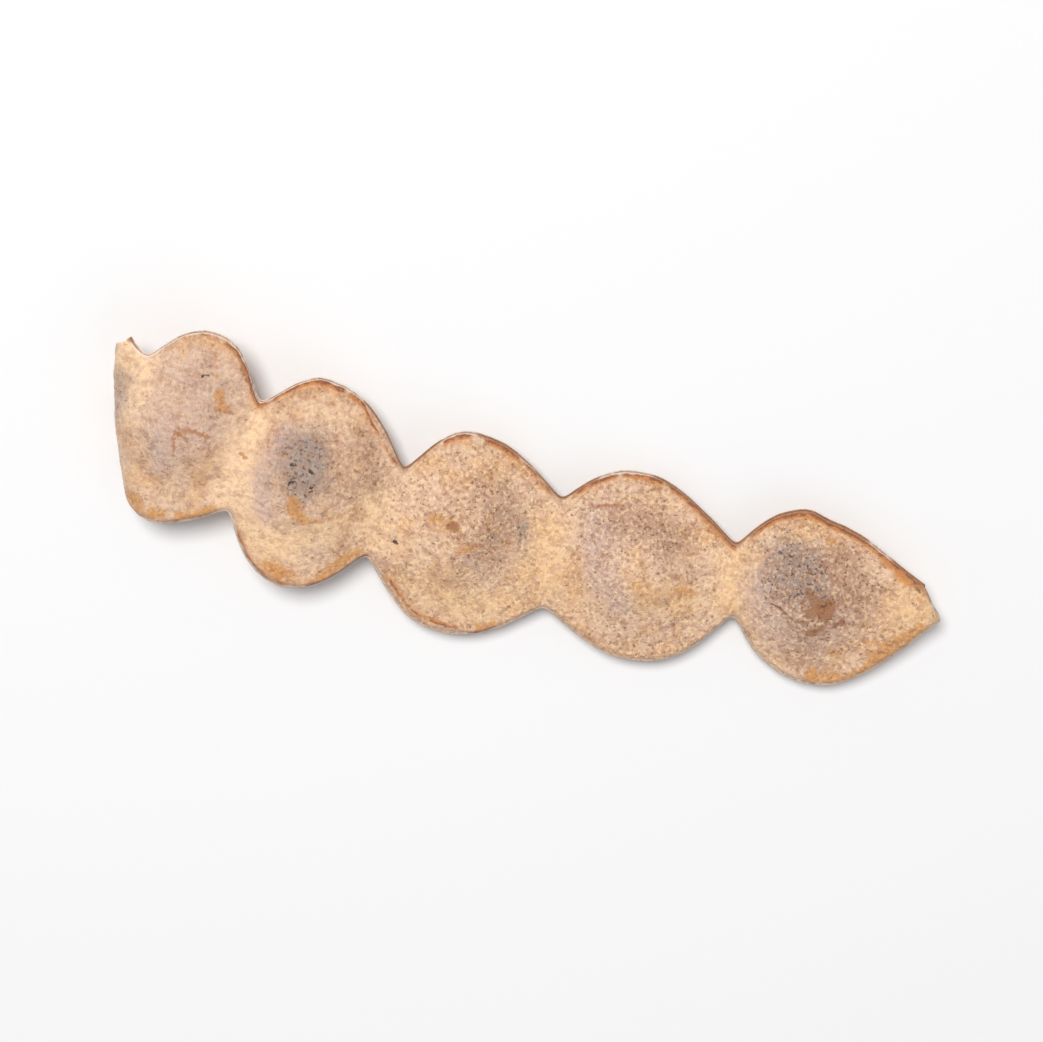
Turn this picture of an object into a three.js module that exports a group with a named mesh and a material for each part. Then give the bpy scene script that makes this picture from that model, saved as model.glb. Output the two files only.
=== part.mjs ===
// A dry babul pod, lying on its flat side: five seed segments strung like beads on narrow necks, with
// a blunt beak at one end and the torn start of a sixth segment, folded down, at the other.
// Millimetres, +Z up. +X runs along the pod towards the beak and +Y across it.
import * as THREE from 'three';
import { mergeVertices } from 'three/addons/utils/BufferGeometryUtils.js';

// The pod's middle line, from beyond the torn end to the tip of the beak.
const middleLine = new THREE.CatmullRomCurve3([
  new THREE.Vector3(-33.5, 5.2, 4.7),
  new THREE.Vector3(-21.0, 4.0, 4.8),
  new THREE.Vector3(-11.7, 1.6, 4.0),
  new THREE.Vector3(0.0, -0.2, 2.6),
  new THREE.Vector3(12.9, -0.2, 2.3),
  new THREE.Vector3(19.9, 0.2, 2.2),
  new THREE.Vector3(25.4, -0.1, 2.3),
  new THREE.Vector3(33.6, 1.5, 3.3),
]);

// "at" is a distance along the middle line. Each seed lifts both faces of its segment in a dome, as
// high as "dome" and as wide as "reach". "roll" is how many degrees the dry segment has turned out
// of the pod's plane. "skew" is how far the widest place of its lower edge lies ahead of its middle,
// and that of its upper edge behind. "swell" is how fast it widens: the upper edge from the rear and
// from the front, then the lower edge in the same way. The first segment is the torn one, which
// holds no seed.
const evenSwell = [2.2, 2.2, 2.2, 2.2];
const segments = [
  { at: 4.0, radius: 5.9, dome: 0, reach: 1, roll: 0, skew: 0, swell: evenSwell },
  { at: 12.8, radius: 7, dome: 1.3, reach: 4.8, roll: 3, skew: -0.3, swell: [2.5, 1.6, 2.2, 2.5] },
  { at: 22.3, radius: 7.3, dome: 1.5, reach: 6.2, roll: -3, skew: 0.9, swell: [2.8, 2.5, 2.0, 2.5] },
  { at: 34.0, radius: 7.2, dome: 1.55, reach: 6.1, roll: 2, skew: 0.6, swell: [2.9, 2.1, 1.8, 1.7] },
  { at: 47.0, radius: 6.6, dome: 1.45, reach: 5.6, roll: -1, skew: 0.9, swell: [2.6, 2.0, 1.7, 2.1] },
  { at: 59.4, radius: 6.15, dome: 1.35, reach: 5.2, roll: 3, skew: 1.3, swell: [3.0, 1.9, 1.4, 1.3] },
];
// The necks that follow the segments, each half as wide as it says and skewed in the same way. The
// last one is the beak.
const necks = [
  { at: 8.4, half: 4, skew: -0.8 },
  { at: 17.7, half: 3.9, skew: 0.7 },
  { at: 28.5, half: 3.3, skew: -0.2 },
  { at: 40.9, half: 3.9, skew: 0.1 },
  { at: 54.2, half: 2.5, skew: 0.5 },
  { at: 68.1, half: 1.1, skew: 0 },
];
const beak = necks.at(-1);

const neckFillet = 0.5;
const widestSoftness = 0.4; // how softly the outline rounds over a segment's widest place

// Half thicknesses: of the edge, of the body between the domes, and how far the edge's seam stands out.
const edgeThickness = 0.45;
const bodyThickness = 0.9;
const seamBulge = 0.2;

// The sixth segment is torn off at a slant, with more gone from its upper corner, and what is left
// of it is folded down along a line.
const tear = { at: 4.9, slant: 0.3, reach: 12, teeth: 0.45, corner: 4.4, cornerFrom: 0 };
const fold = { x: -23.2, y: 4.0, height: 4.8, lean: 10.5, radius: 1.4, angle: 85 };

// The beak ends in a slant: how far its lower corner runs ahead per millimetre of its width.
const tip = { slant: 0.42, reach: 5 };

const pressedFlat = 0.35; // how deep the ground has flattened the lowest places
const steps = { along: 96, across: 12, edge: 2 };

const smooth = (x) => x * x * (3 - 2 * x);

// Where a neck's notch or a segment's widest place lies along an edge. The side is 1 for the upper
// edge and -1 for the lower one.
const placeOn = (feature, side) => feature.at - side * feature.skew;

// Rises from 0 to 1, with a softly rounded top.
function swellShare(share, roundness) {
  const left = Math.hypot(1 - share, widestSoftness) ** roundness;
  const foot = Math.hypot(1, widestSoftness) ** roundness;
  return (foot - left) / (foot - widestSoftness ** roundness);
}

// Half of the pod's width. A neck is a rounded notch, from which the outline swells to the full
// radius of the segment.
function halfWidth(along, side) {
  const found = necks.findIndex((neck) => along <= placeOn(neck, side));
  const index = found < 0 ? necks.length - 1 : found;
  const segment = segments[index];
  const widest = placeOn(segment, side);
  const rear = along < widest && index > 0;
  const neck = rear ? necks[index - 1] : necks[index];
  const roundness = segment.swell[(side > 0 ? 0 : 2) + (rear ? 0 : 1)];
  const fillet = neck === beak ? 0 : neckFillet;
  const fromNotch = (place) => Math.hypot(place - placeOn(neck, side), fillet) - fillet;
  const share = Math.min(1, fromNotch(along) / fromNotch(widest));
  return neck.half + (segment.radius - neck.half) * swellShare(share, roundness);
}

// A value of the segments at a distance along the pod, eased from each segment to the next.
function eased(name, along) {
  const next = Math.max(1, segments.findIndex((segment) => along < segment.at));
  const last = segments.at(-1);
  if (along >= last.at) return last[name];
  const [a, b] = [segments[next - 1], segments[next]];
  return THREE.MathUtils.lerp(a[name], b[name], smooth(Math.max(0, (along - a.at) / (b.at - a.at))));
}

// Half of the pod's thickness: thin at the edge, fuller inside it, and domed over each seed.
function halfThickness(along, across, share) {
  let thickness = THREE.MathUtils.lerp(bodyThickness, edgeThickness, Math.abs(share) ** 3);
  for (const segment of segments) {
    const distance = Math.hypot(along - segment.at, across) / segment.reach;
    if (distance < 1) thickness += segment.dome * (1 - distance ** 2) ** 2;
  }
  return thickness;
}

// The direction along the pod, the one across it and the one out of its upper face.
function directionsAt(along) {
  const ahead = middleLine.getTangentAt(along / beak.at);
  const sideways = new THREE.Vector3(-ahead.y, ahead.x, 0).normalize();
  const roll = THREE.MathUtils.degToRad(eased('roll', along));
  sideways.applyAxisAngle(ahead, roll);
  return { ahead, sideways, up: new THREE.Vector3().crossVectors(ahead, sideways) };
}

// Turns down what lies beyond the fold line, round a cylinder that lies under the pod.
function foldDown(point) {
  const lean = THREE.MathUtils.degToRad(fold.lean);
  const outward = new THREE.Vector3(-Math.cos(lean), -Math.sin(lean), 0);
  const beyond = (point.x - fold.x) * outward.x + (point.y - fold.y) * outward.y;
  if (beyond <= 0) return point;
  const turned = Math.min(beyond / fold.radius, THREE.MathUtils.degToRad(fold.angle));
  const straight = beyond - turned * fold.radius;
  const arm = fold.radius + point.z - fold.height;
  const reach = arm * Math.sin(turned) + straight * Math.cos(turned);
  const drop = fold.radius - arm * Math.cos(turned) + straight * Math.sin(turned);
  point.addScaledVector(outward, reach - beyond);
  point.z = fold.height - drop;
  return point;
}

// A point of the skin. The three shares run from -1 to 1: along, across and through the pod.
function skinPoint(alongShare, acrossShare, throughShare) {
  const side = Math.sign(acrossShare);
  const straight = THREE.MathUtils.mapLinear(alongShare, -1, 1, tear.at, beak.at);
  const nearTear = Math.max(0, 1 - (straight - tear.at) / tear.reach) ** 2;
  const teeth = tear.teeth * Math.sin(9 * acrossShare + 1);
  const slant = tear.slant * acrossShare * halfWidth(straight, side);
  const toCorner = Math.max(0, (acrossShare - tear.cornerFrom) / (1 - tear.cornerFrom));
  const along = straight - nearTear * (slant + teeth - tear.corner * smooth(toCorner));
  const across = acrossShare * halfWidth(along, side);
  const seam = seamBulge * (1 - throughShare ** 2) * acrossShare;
  const through = throughShare * halfThickness(along, across, acrossShare);
  const nearTip = Math.max(0, 1 - (beak.at - along) / tip.reach) ** 2;
  const { ahead, sideways, up } = directionsAt(along);
  const point = middleLine.getPointAt(along / beak.at);
  point.addScaledVector(sideways, across + seam).addScaledVector(up, through);
  point.addScaledVector(ahead, -nearTip * tip.slant * across);
  return foldDown(point);
}

// A box with a fine grid on its faces is shaped into the pod, so its corners and edges stay joined.
function podGeometry() {
  const geometry = new THREE.BoxGeometry(2, 2, 2, steps.along, steps.across, steps.edge);
  geometry.deleteAttribute('normal');
  geometry.deleteAttribute('uv');
  const position = geometry.getAttribute('position');
  const point = new THREE.Vector3();
  for (let i = 0; i < position.count; i++) {
    point.fromBufferAttribute(position, i);
    point.copy(skinPoint(point.x, point.y, point.z));
    position.setXYZ(i, point.x, point.y, point.z);
  }
  return mergeVertices(geometry);
}

// Sets the pod down on z = 0 with its lowest places pressed flat, in the middle of x and y.
function setDown(geometry) {
  geometry.computeBoundingBox();
  const { min, max } = geometry.boundingBox;
  const position = geometry.getAttribute('position');
  geometry.translate(-(min.x + max.x) / 2, -(min.y + max.y) / 2, -min.z - pressedFlat);
  for (let i = 0; i < position.count; i++) {
    position.setZ(i, Math.max(0, position.getZ(i)));
  }
  geometry.computeVertexNormals();
  return geometry;
}

const skin = new THREE.MeshStandardMaterial({ color: 0xd1ad8f, roughness: 0.9, metalness: 0 });
const pod = new THREE.Mesh(setDown(podGeometry()), skin);
pod.name = 'pod';

const group = new THREE.Group();
group.add(pod);
export default group;
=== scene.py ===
"""A dry babul pod on a pale table: five felted seed segments on narrow necks, a blunt beak, and the
torn start of a sixth segment that is folded down. The pod is one piece. It takes the place of the
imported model's plain pod and keeps its shape, which the same values give, at a much finer grain."""

import math

import bmesh
import bpy
import numpy as np
from mathutils import Matrix, Vector, noise


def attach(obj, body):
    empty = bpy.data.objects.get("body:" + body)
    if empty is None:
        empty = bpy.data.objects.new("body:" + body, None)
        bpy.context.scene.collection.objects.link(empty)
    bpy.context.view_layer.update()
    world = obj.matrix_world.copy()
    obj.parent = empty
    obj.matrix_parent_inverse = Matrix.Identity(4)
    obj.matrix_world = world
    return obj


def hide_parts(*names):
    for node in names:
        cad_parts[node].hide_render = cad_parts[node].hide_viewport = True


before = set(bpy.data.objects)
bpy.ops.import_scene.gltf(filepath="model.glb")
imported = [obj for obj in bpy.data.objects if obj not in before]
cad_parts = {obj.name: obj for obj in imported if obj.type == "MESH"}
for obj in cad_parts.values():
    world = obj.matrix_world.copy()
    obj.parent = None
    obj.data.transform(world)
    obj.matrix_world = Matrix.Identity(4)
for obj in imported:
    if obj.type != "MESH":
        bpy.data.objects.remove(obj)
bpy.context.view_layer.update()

MM = 0.001

# -------- the pod's driving values, in mm

# The middle line, from beyond the torn end to the tip of the beak.
MIDDLE_LINE = np.array([
    (-33.5, 5.2, 4.7),
    (-21.0, 4.0, 4.8),
    (-11.7, 1.6, 4.0),
    (0.0, -0.2, 2.6),
    (12.9, -0.2, 2.3),
    (19.9, 0.2, 2.2),
    (25.4, -0.1, 2.3),
    (33.6, 1.5, 3.3),
])

# Where each segment lies along the middle line, its radius, how high and how wide its seed lifts
# each face, how many degrees it has turned out of the pod's plane, and how far the widest place of
# its lower edge lies ahead of its middle, and that of its upper edge behind. Swell says how fast
# it widens: its upper edge from the rear and from the front, then its lower edge in the same way.
# The first segment is the torn one, which holds no seed.
COLUMNS = ("at", "radius", "dome", "reach", "roll", "skew", "swell")
SEGMENTS = [dict(zip(COLUMNS, row)) for row in (
    (4.0, 5.9, 0, 1, 0, 0, (2.2, 2.2, 2.2, 2.2)),
    (12.8, 7, 1.3, 4.8, 3, -0.3, (2.5, 1.6, 2.2, 2.5)),
    (22.3, 7.3, 1.5, 6.2, -3, 0.9, (2.8, 2.5, 2.0, 2.5)),
    (34.0, 7.2, 1.55, 6.1, 2, 0.6, (2.9, 2.1, 1.8, 1.7)),
    (47.0, 6.6, 1.45, 5.6, -1, 0.9, (2.6, 2.0, 1.7, 2.1)),
    (59.4, 6.15, 1.35, 5.2, 3, 1.3, (3.0, 1.9, 1.4, 1.3)),
)]
# The necks after each segment, each half as wide as it says and skewed in the same way. The last
# one is the beak.
NECKS = [dict(zip(("at", "half", "skew"), row)) for row in (
    (8.4, 4.0, -0.8),
    (17.7, 3.9, 0.7),
    (28.5, 3.3, -0.2),
    (40.9, 3.9, 0.1),
    (54.2, 2.5, 0.5),
    (68.1, 1.1, 0),
)]
BEAK = NECKS[-1]
# How round the outline is in the notch of a neck, and over a segment's widest place.
NECK_FILLET = 0.5
WIDEST_SOFTNESS = 0.4

# Half thicknesses of the edge and of the body, which thins with this power of the way to the edge.
EDGE_THICKNESS = 0.45
BODY_THICKNESS = 0.9
THINNING = 3

# The torn edge: its slant, how much more is gone from its upper half, up to the corner, its teeth,
# and how far along the pod all this shifts the skin.
TEAR = {"at": 4.9, "slant": 0.3, "reach": 12.0, "corner": 4.4}
TEETH = {"length": 0.45, "turn": 9, "start": 1}
# The line along which the torn end is folded down, how tightly, and by how many degrees.
FOLD = {"x": -23.2, "y": 4.0, "height": 4.8, "lean": 10.5, "radius": 1.4, "angle": 85.0}
# The beak's slanting cut, and how far along the beak it shifts the skin.
TIP = {"slant": 0.42, "reach": 5.0}
# How much of the lowest places is pressed flat.
PRESSED_FLAT = 0.35

# -------- the visible pod's finer forms

# The grid's steps, and how much closer those across the pod lie near its edges, from 0 to 1.
STEPS = {"along": 500, "across": 84, "edge": 12}
CLOSER_STEPS = 0.4
# From this share of the way on, a place is on an edge or at an end.
ALL_THE_WAY = 0.999

# The edge is rounded off and has a low rib inside it. Its wall stands out in a lip, further on its
# lower half, with a groove that runs out near the tear.
SHOULDER = {"radius": 0.35, "drop": 0.2}
EDGE_RIB = {"from_edge": 0.35, "width": 0.22, "height": 0.05}
LIP = {"bulge": 0.2, "groove": 0.16, "groove_width": 0.25, "lower": 0.25, "no_groove": 1.5}
# The outline is uneven in waves of these sizes and heights, read along a line for each edge.
WOBBLE = [(2.4, 0.09), (0.7, 0.035)]
WOBBLE_LINE = {"beyond": 5, "places": 1200, "from_middle": 40}

# The torn edge's lower half is frayed, close to the edge only, and cleft between the two valves.
FRAY = {"size": 0.35, "length": 0.3, "through": 3, "fade": 0.3, "closeness": 12}
CLEFT = {"depth": 0.5, "width": 0.3}
# The tip of the beak bulges, and is drawn out to a point, more so at its lower corner.
TIP_BULGE = 0.05
TIP_POINT = {"all": 0.25, "lower": 0.25, "width": 0.6}

# Furrows round the seeds, pleats through the necks and faintly elsewhere, and wrinkles. They fade
# out towards the edge.
SEED_RING = {"share": 0.58, "width": 0.45, "depth": 0.05}
NECK_PLEATS = {"spacing": 0.75, "length": 4.0, "depth": 0.035, "reach": 2.6, "elsewhere": 0.25}
WRINKLE_DEPTH = 0.06
RELIEF_FADE = 0.5
# The felt's lumps: their size, height and kind of noise. They are lower at the edge.
FELT_LUMPS = {
    "slow_lumps": (3.6, 0.12, "SOFT_NOISE"),
    "dry_dents": (1.1, 0.05, "HARD_NOISE"),
    "felt_tufts": (0.42, 0.028, "SOFT_NOISE"),
}
FELT_FADE = {"at_edge": 0.25, "width": 1.2}
# How far apart the two faces lie where noise is read, so that they don't look alike.
FACES_APART = {"pleats": 9.0, "fibres": 10}

# -------- where the skin's colours change

# The felt is rubbed smooth from the torn end to the first place, and full from the second on.
SMOOTH_END = {"from": 18.0, "to": 32.0}
# The lower edge's rim is darkened by painted shade, where it rounds away from the light, and its lip
# has weathered pale to this share.
LOWER_RIM_SHADE = {"strength": 0.5, "width": 0.9}
LOWER_PALE_LIP = 0.6
# The torn edge's lower half shows its fibres over a few rows of the grid.
TORN_FIBRES = {"rows": 8, "fade": 0.2}
# How fast a mark fades out, and over which length a stretch of the edge does.
MARK_FADE = 0.7
STRETCH_FADE = 1.0
# The torn edge's own surface counts as this far from the edge line.
OFF_THE_EDGE = 3.0
# The upper face's marks are on places above this share, so on those halfway down the edge too.
HALFWAY = -0.01

# -------- marks on the skin

# A mark is a segment's number, its points, its width and its strength. A point is how far ahead of
# the segment's middle it lies and how far towards the upper edge. One point makes a round patch.
# The grey, mauve, cream and deep zones are on both faces, and all the other marks on the upper one.
GREY_MARKS = [
    # The first grey mark is painted shade along the fold, where the torn end turns down away from
    # the light.
    (1, [(-4.3, 2.4), (-4.0, 0.9), (-3.9, -0.2)], 0.9, 0.6),
    (1, [(-1.6, -0.6), (-1.2, -2.0)], 0.7, 0.4),
    (2, [(-0.7, 2.4), (-0.3, 0.6)], 1.7, 0.95),
    (2, [(-0.5, 1.6)], 1.2, 0.5),
    (2, [(-2.8, 0.4), (-2.4, 2.8)], 0.8, 0.25),
    (3, [(2.8, 2.4)], 1.8, 0.4),
    (3, [(4.4, 1.8), (4.6, 0.9)], 0.4, 0.55),
    (3, [(2.3, 0.7)], 0.35, 0.6),
    (3, [(1.8, -1.4)], 1.0, 0.35),
    (4, [(-3.2, 2.8)], 1.2, 0.35),
    (4, [(-1.6, -2.0)], 1.4, 0.2),
    (5, [(-2.0, 2.6), (-0.6, 2.4)], 1.9, 0.9),
    (5, [(-1.6, 0.2)], 1.2, 0.4),
    (5, [(-3.2, 0.6)], 1.2, 0.35),
    (5, [(0.8, 1.4)], 1.6, 0.4),
    (5, [(-1.0, -2.0)], 1.0, 0.25),
]
MAUVE_MARKS = [
    (1, [(0.2, 1.0), (0.4, 3.0)], 3.2, 0.75),
    (1, [(-0.9, -0.1), (-0.8, -1.0), (-0.5, -2.6)], 0.9, 0.6),
    (2, [(-2.8, 3.0), (-3.0, -0.4), (-1.8, -2.6)], 0.9, 0.8),
    (2, [(0.6, -1.0), (1.8, 0.6), (1.4, 3.4)], 1.4, 0.45),
    (3, [(-2.6, 2.0), (-1.0, 2.8)], 1.6, 0.35),
    (3, [(0.6, -1.4), (2.2, -2.0)], 1.4, 0.5),
    (4, [(-3.4, 3.2), (-3.2, 1.4), (-2.6, -0.4), (-1.2, -2.4)], 1.2, 0.85),
    (4, [(-2.0, 3.0), (0.4, 3.4), (1.8, 2.2)], 1.6, 0.7),
    (4, [(1.6, -4.2)], 1.6, 0.3),
    (5, [(-3.4, 0.4), (-2.6, -1.6)], 1.4, 0.8),
    (5, [(-1.0, 1.4)], 3.4, 0.6),
    (5, [(2.6, 0.6)], 2.0, 0.7),
    (5, [(0.4, -2.4), (2.6, -1.6)], 1.8, 0.5),
    (5, [(-0.6, -2.8), (1.2, -3.2)], 1.2, 0.4),
]
CREAM_MARKS = [
    (1, [(-4.8, 4.6), (-4.6, 3.8)], 1.2, 1.0),
    (1, [(-3.4, 3.8), (-3.1, 2.7), (-3.2, 1.3), (-3.0, 0.2)], 0.75, 0.9),
    (1, [(-2.4, -4.0), (0.4, -4.4)], 1.2, 0.35),
    (1, [(4.2, 2.5), (4.3, 0.9), (4.9, -1.6), (5.2, -3.0)], 1.3, 1.0),
    (2, [(-3.6, -3.2), (-2.0, -4.8), (0.4, -4.6)], 1.2, 0.85),
    (2, [(-1.6, 5.0), (0.4, 5.4)], 1.0, 0.4),
    (2, [(0.8, -3.4), (2.8, -2.2)], 1.0, 0.6),
    (2, [(5.1, 0.4), (5.5, -0.6), (5.2, -1.6)], 1.5, 0.7),
    (3, [(-1.0, -4.4), (1.3, -5.0), (3.4, -4.2)], 1.5, 0.75),
    (3, [(-3.4, -2.4)], 1.6, 0.45),
    (3, [(6.3, 1.9), (6.4, 0.2), (6.6, -1.8)], 1.5, 0.85),
    (4, [(1.2, -1.2), (3.6, -1.6)], 1.4, 0.5),
    (4, [(-3.6, -4.2)], 1.6, 0.4),
    (4, [(7.0, 1.6), (7.2, 0.2), (7.4, -1.2)], 1.5, 0.9),
    (5, [(-4.6, -2.2), (-2.6, -4.2)], 0.9, 0.5),
    (5, [(6.8, 0.2), (8.6, -0.8)], 1.3, 1.0),
]
DEEP_MARKS = [
    (1, [(1.4, 4.4), (2.4, 2.4)], 1.2, 0.35),
    (2, [(1.0, 3.0), (2.6, 1.6)], 1.6, 0.45),
    (2, [(2.8, 4.6), (4.0, 3.0), (4.6, 2.0)], 1.0, 0.75),
    (2, [(4.2, -3.4)], 0.9, 0.6),
    (3, [(1.0, 4.0), (2.6, 2.8)], 1.5, 0.7),
    (3, [(3.6, 1.6), (2.6, -0.2)], 1.4, 0.7),
    (3, [(-1.2, 1.4), (0.6, 0.2)], 1.5, 0.45),
    (3, [(-4.4, -3.6), (-2.6, -5.4)], 0.7, 0.5),
    (4, [(-1.8, 3.4), (0.4, 3.8), (2.2, 2.6)], 1.4, 0.75),
    (4, [(2.4, 0.4), (3.2, -0.6)], 1.0, 0.3),
    (4, [(-0.8, -4.8), (0.6, -5.4)], 0.9, 0.3),
    (5, [(-1.2, 2.2), (1.0, 1.8)], 2.0, 0.75),
    (5, [(1.2, 0.2), (0.6, -1.8)], 1.4, 0.6),
    (5, [(2.6, 2.2), (4.4, 0.8)], 1.4, 0.65),
    (5, [(1.4, 4.2), (3.4, 3.6)], 0.9, 0.5),
    (5, [(0.2, -4.6), (2.0, -4.8)], 0.9, 0.55),
    (5, [(3.8, -0.6)], 1.8, 0.4),
    (5, [(-0.2, -3.2)], 1.6, 0.35),
]
OCHRE_MARKS = [
    (1, [(-1.4, -5.8)], 0.55, 0.9),
    (1, [(-2.0, -5.7), (-0.8, -6.2)], 0.35, 0.7),
    (1, [(0.3, -6.3), (1.3, -6.1)], 0.32, 1.0),
    (1, [(2.6, -5.9), (4.0, -5.3), (4.6, -4.4)], 0.42, 1.0),
    (1, [(0.6, 5.6), (1.0, 4.5)], 0.2, 0.5),
    (1, [(1.5, 3.6), (2.1, 2.8)], 0.32, 0.9),
    (2, [(-0.4, -1.1), (-0.1, -1.7)], 0.38, 0.9),
    (2, [(-0.1, -1.7), (0.6, -2.2)], 0.42, 1.0),
    (2, [(0.6, -2.2), (1.9, -1.9)], 0.24, 0.75),
    (2, [(-0.1, -6.4), (0.7, -6.5)], 0.42, 1.0),
    (2, [(0.7, -6.5), (1.4, -6.4)], 0.3, 0.7),
    (2, [(3.4, -5.7), (4.0, -4.9), (4.5, -4.2)], 0.36, 1.0),
    (2, [(4.7, -3.9), (5.5, -2.9)], 0.3, 0.7),
    (2, [(1.0, 3.3), (1.7, 2.5)], 0.4, 0.3),
    (3, [(-2.3, 1.1), (-2.0, 1.2)], 0.36, 0.95),
    (3, [(-1.0, 0.95), (-0.6, 0.95)], 0.4, 1.0),
    (3, [(0.1, -0.7), (0.6, -0.4), (0.9, -0.1)], 0.28, 0.85),
    (3, [(3.4, 0.5)], 0.35, 0.5),
    (3, [(1.2, 4.7)], 0.45, 0.6),
    (3, [(2.8, -6.2), (3.8, -5.8)], 0.24, 0.7),
    (4, [(-0.9, -0.1)], 0.35, 0.6),
    (4, [(0.8, -1.8), (3.2, -1.0)], 1.1, 0.42),
    (4, [(0.0, -0.9)], 0.4, 0.5),
    (4, [(3.4, -4.1)], 0.45, 0.6),
    (4, [(3.4, -1.1), (4.2, -1.1)], 0.25, 0.6),
    (4, [(2.0, -2.8)], 0.35, 0.4),
    (5, [(5.2, -3.8), (6.1, -2.9)], 0.6, 1.0),
    (5, [(7.6, -1.6), (6.6, -2.8)], 0.36, 1.0),
    (5, [(5.2, -4.4), (4.0, -5.1)], 0.4, 0.9),
    (5, [(3.2, -5.4), (1.0, -5.7)], 0.34, 0.9),
    (5, [(1.9, -3.6), (2.5, -3.5)], 0.24, 0.8),
    (5, [(4.4, -2.8), (5.0, -2.6)], 0.22, 0.6),
    (5, [(1.0, -5.1)], 0.35, 0.7),
    (5, [(4.6, -4.7)], 0.35, 0.6),
    (5, [(1.2, 4.7), (1.8, 4.7)], 0.28, 0.7),
    (5, [(-0.9, 4.5)], 0.3, 0.5),
    (5, [(7.2, 2.3), (8.2, 1.7), (8.9, 1.2)], 0.55, 1.0),
    (5, [(8.7, -1.0)], 0.3, 0.4),
]
BROWN_MARKS = [
    (3, [(-1.0, 0.95), (-0.6, 0.95)], 0.28, 1.0),
    (1, [(2.3, 5.7)], 0.3, 0.8),
    (1, [(2.8, 5.2)], 0.3, 0.8),
    (3, [(1.2, 4.7)], 0.25, 0.5),
    (5, [(1.0, 0.1), (1.6, 0.2), (1.4, -0.4)], 0.62, 1.0),
    (5, [(-2.46, -0.53), (-1.74, -0.6), (-1.2, -0.95), (-0.54, -1.25), (-0.1, -1.2)], 0.1, 0.85),
    (5, [(0.2, -0.5)], 0.34, 0.9),
    (5, [(0.0, 1.1), (0.3, 0.9)], 0.3, 0.8),
    (5, [(-0.3, 0.3)], 0.2, 0.8),
    (5, [(0.5, -2.0), (0.8, -1.9)], 0.3, 1.0),
    (5, [(1.3, -1.5)], 0.22, 1.0),
    (5, [(2.2, -1.3)], 0.22, 1.0),
    (5, [(2.7, -1.1)], 0.24, 1.0),
    (5, [(-0.2, 2.5)], 0.2, 0.9),
    (5, [(-1.4, 3.4)], 0.35, 0.6),
    (5, [(8.3, 1.2)], 0.25, 0.8),
]
BLACK_MARKS = [
    (1, [(0.2, 4.3), (0.5, 4.4)], 0.12, 0.9),
    (2, [(-1.5, 1.2), (-1.3, 1.3)], 0.15, 1.0),
    (2, [(-0.1, 1.25), (0.15, 1.2)], 0.14, 1.0),
    (2, [(-1.0, 0.15), (-0.75, 0.25)], 0.14, 1.0),
    (2, [(-0.3, 0.45), (-0.05, 0.55)], 0.12, 1.0),
    (2, [(0.4, 0.3), (0.45, -0.05)], 0.14, 1.0),
    (2, [(-1.15, -0.1), (-1.05, 0.1)], 0.12, 0.9),
    (2, [(-0.6, -0.75), (-0.5, -0.6)], 0.12, 0.8),
    (2, [(0.7, 1.4), (0.8, 1.5)], 0.11, 0.8),
    (2, [(0.2, -0.4), (0.3, -0.5)], 0.11, 0.8),
    (2, [(-0.6, 0.9), (-0.5, 0.95)], 0.11, 0.8),
    (3, [(2.2, 0.7), (2.4, 0.7)], 0.14, 0.9),
    (3, [(-4.35, -1.6), (-4.2, -1.6)], 0.15, 1.0),
    (5, [(0.2, 1.9), (0.5, 1.7)], 0.12, 0.8),
]
SCRATCH_MARKS = [
    (1, [(-0.1, 0.2), (0.6, 0.6), (2.1, 0.6)], 0.2, 0.9),
    (1, [(0.0, 0.1), (0.8, -0.1)], 0.16, 0.8),
    (1, [(-0.2, -0.1), (0.1, -0.9), (0.3, -1.7)], 0.18, 0.7),
    (1, [(1.8, 2.5), (2.9, 2.7)], 0.15, 0.8),
    (1, [(4.5, 0.3), (5.0, 0.2)], 0.16, 0.8),
    (3, [(0.9, -0.1), (1.6, 0.2)], 0.18, 0.8),
    (4, [(-3.5, 4.1), (-2.7, 4.3), (-2.0, 4.4)], 0.14, 0.9),
    (4, [(2.2, 0.1), (3.0, 0.1)], 0.17, 0.8),
    (5, [(2.2, 0.6), (3.6, 0.6), (4.4, 0.6)], 0.15, 0.65),
    (5, [(0.0, 3.0), (0.9, 3.6)], 0.15, 0.7),
]
WRINKLES = [
    (1, [(-0.6, 5.8), (0.9, 5.1), (1.7, 3.9), (2.3, 2.7)], 0.3, 1),
    (1, [(-2.2, -3.4), (0.2, -4.2), (2.4, -4.0)], 0.3, 1),
    (3, [(2.6, 4.8), (4.0, 3.2), (4.6, 1.4)], 0.3, 1),
    (4, [(-3.6, 4.2), (-1.8, 4.6), (0.4, 4.3)], 0.25, 1),
    (5, [(1.0, 4.7), (3.2, 4.0), (4.7, 2.3)], 0.3, 1),
    (5, [(-4.2, 2.2), (-4.4, 0.4), (-3.6, -1.6)], 0.3, 1),
]
# Where the edge is worn down to its brown line: a segment's number, from where to where ahead of
# the segment's middle, and how much.
UPPER_EDGE_WEAR = [
    (1, -2.5, 1.0, 0.35),
    (1, 0.6, 4.8, 1.0),
    (2, -4.6, 0.4, 0.9),
    (2, 0.6, 3.6, 1.0),
    (2, 3.8, 6.2, 0.5),
    (3, -3.2, -1.2, 1.0),
    (3, 0.1, 3.2, 1.0),
    (3, 3.6, 6.2, 0.6),
    (4, -5.4, -2.4, 0.7),
    (4, -2.2, 1.0, 0.9),
    (4, 1.4, 3.4, 1.0),
    (4, 3.0, 6.6, 1.5),
    (5, -4.8, 5.6, 1.1),
    (5, 5.4, 8.1, 2.0),
]
LOWER_EDGE_WEAR = [
    (1, -3.0, 4.6, 0.35),
    (2, -3.0, 2.0, 0.5),
    (2, 2.8, 6.0, 0.9),
    (3, -4.2, 1.8, 0.55),
    (3, 2.4, 4.2, 0.7),
    (4, -2.0, 6.0, 0.3),
    (5, 0.4, 8.0, 0.3),
]
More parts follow.
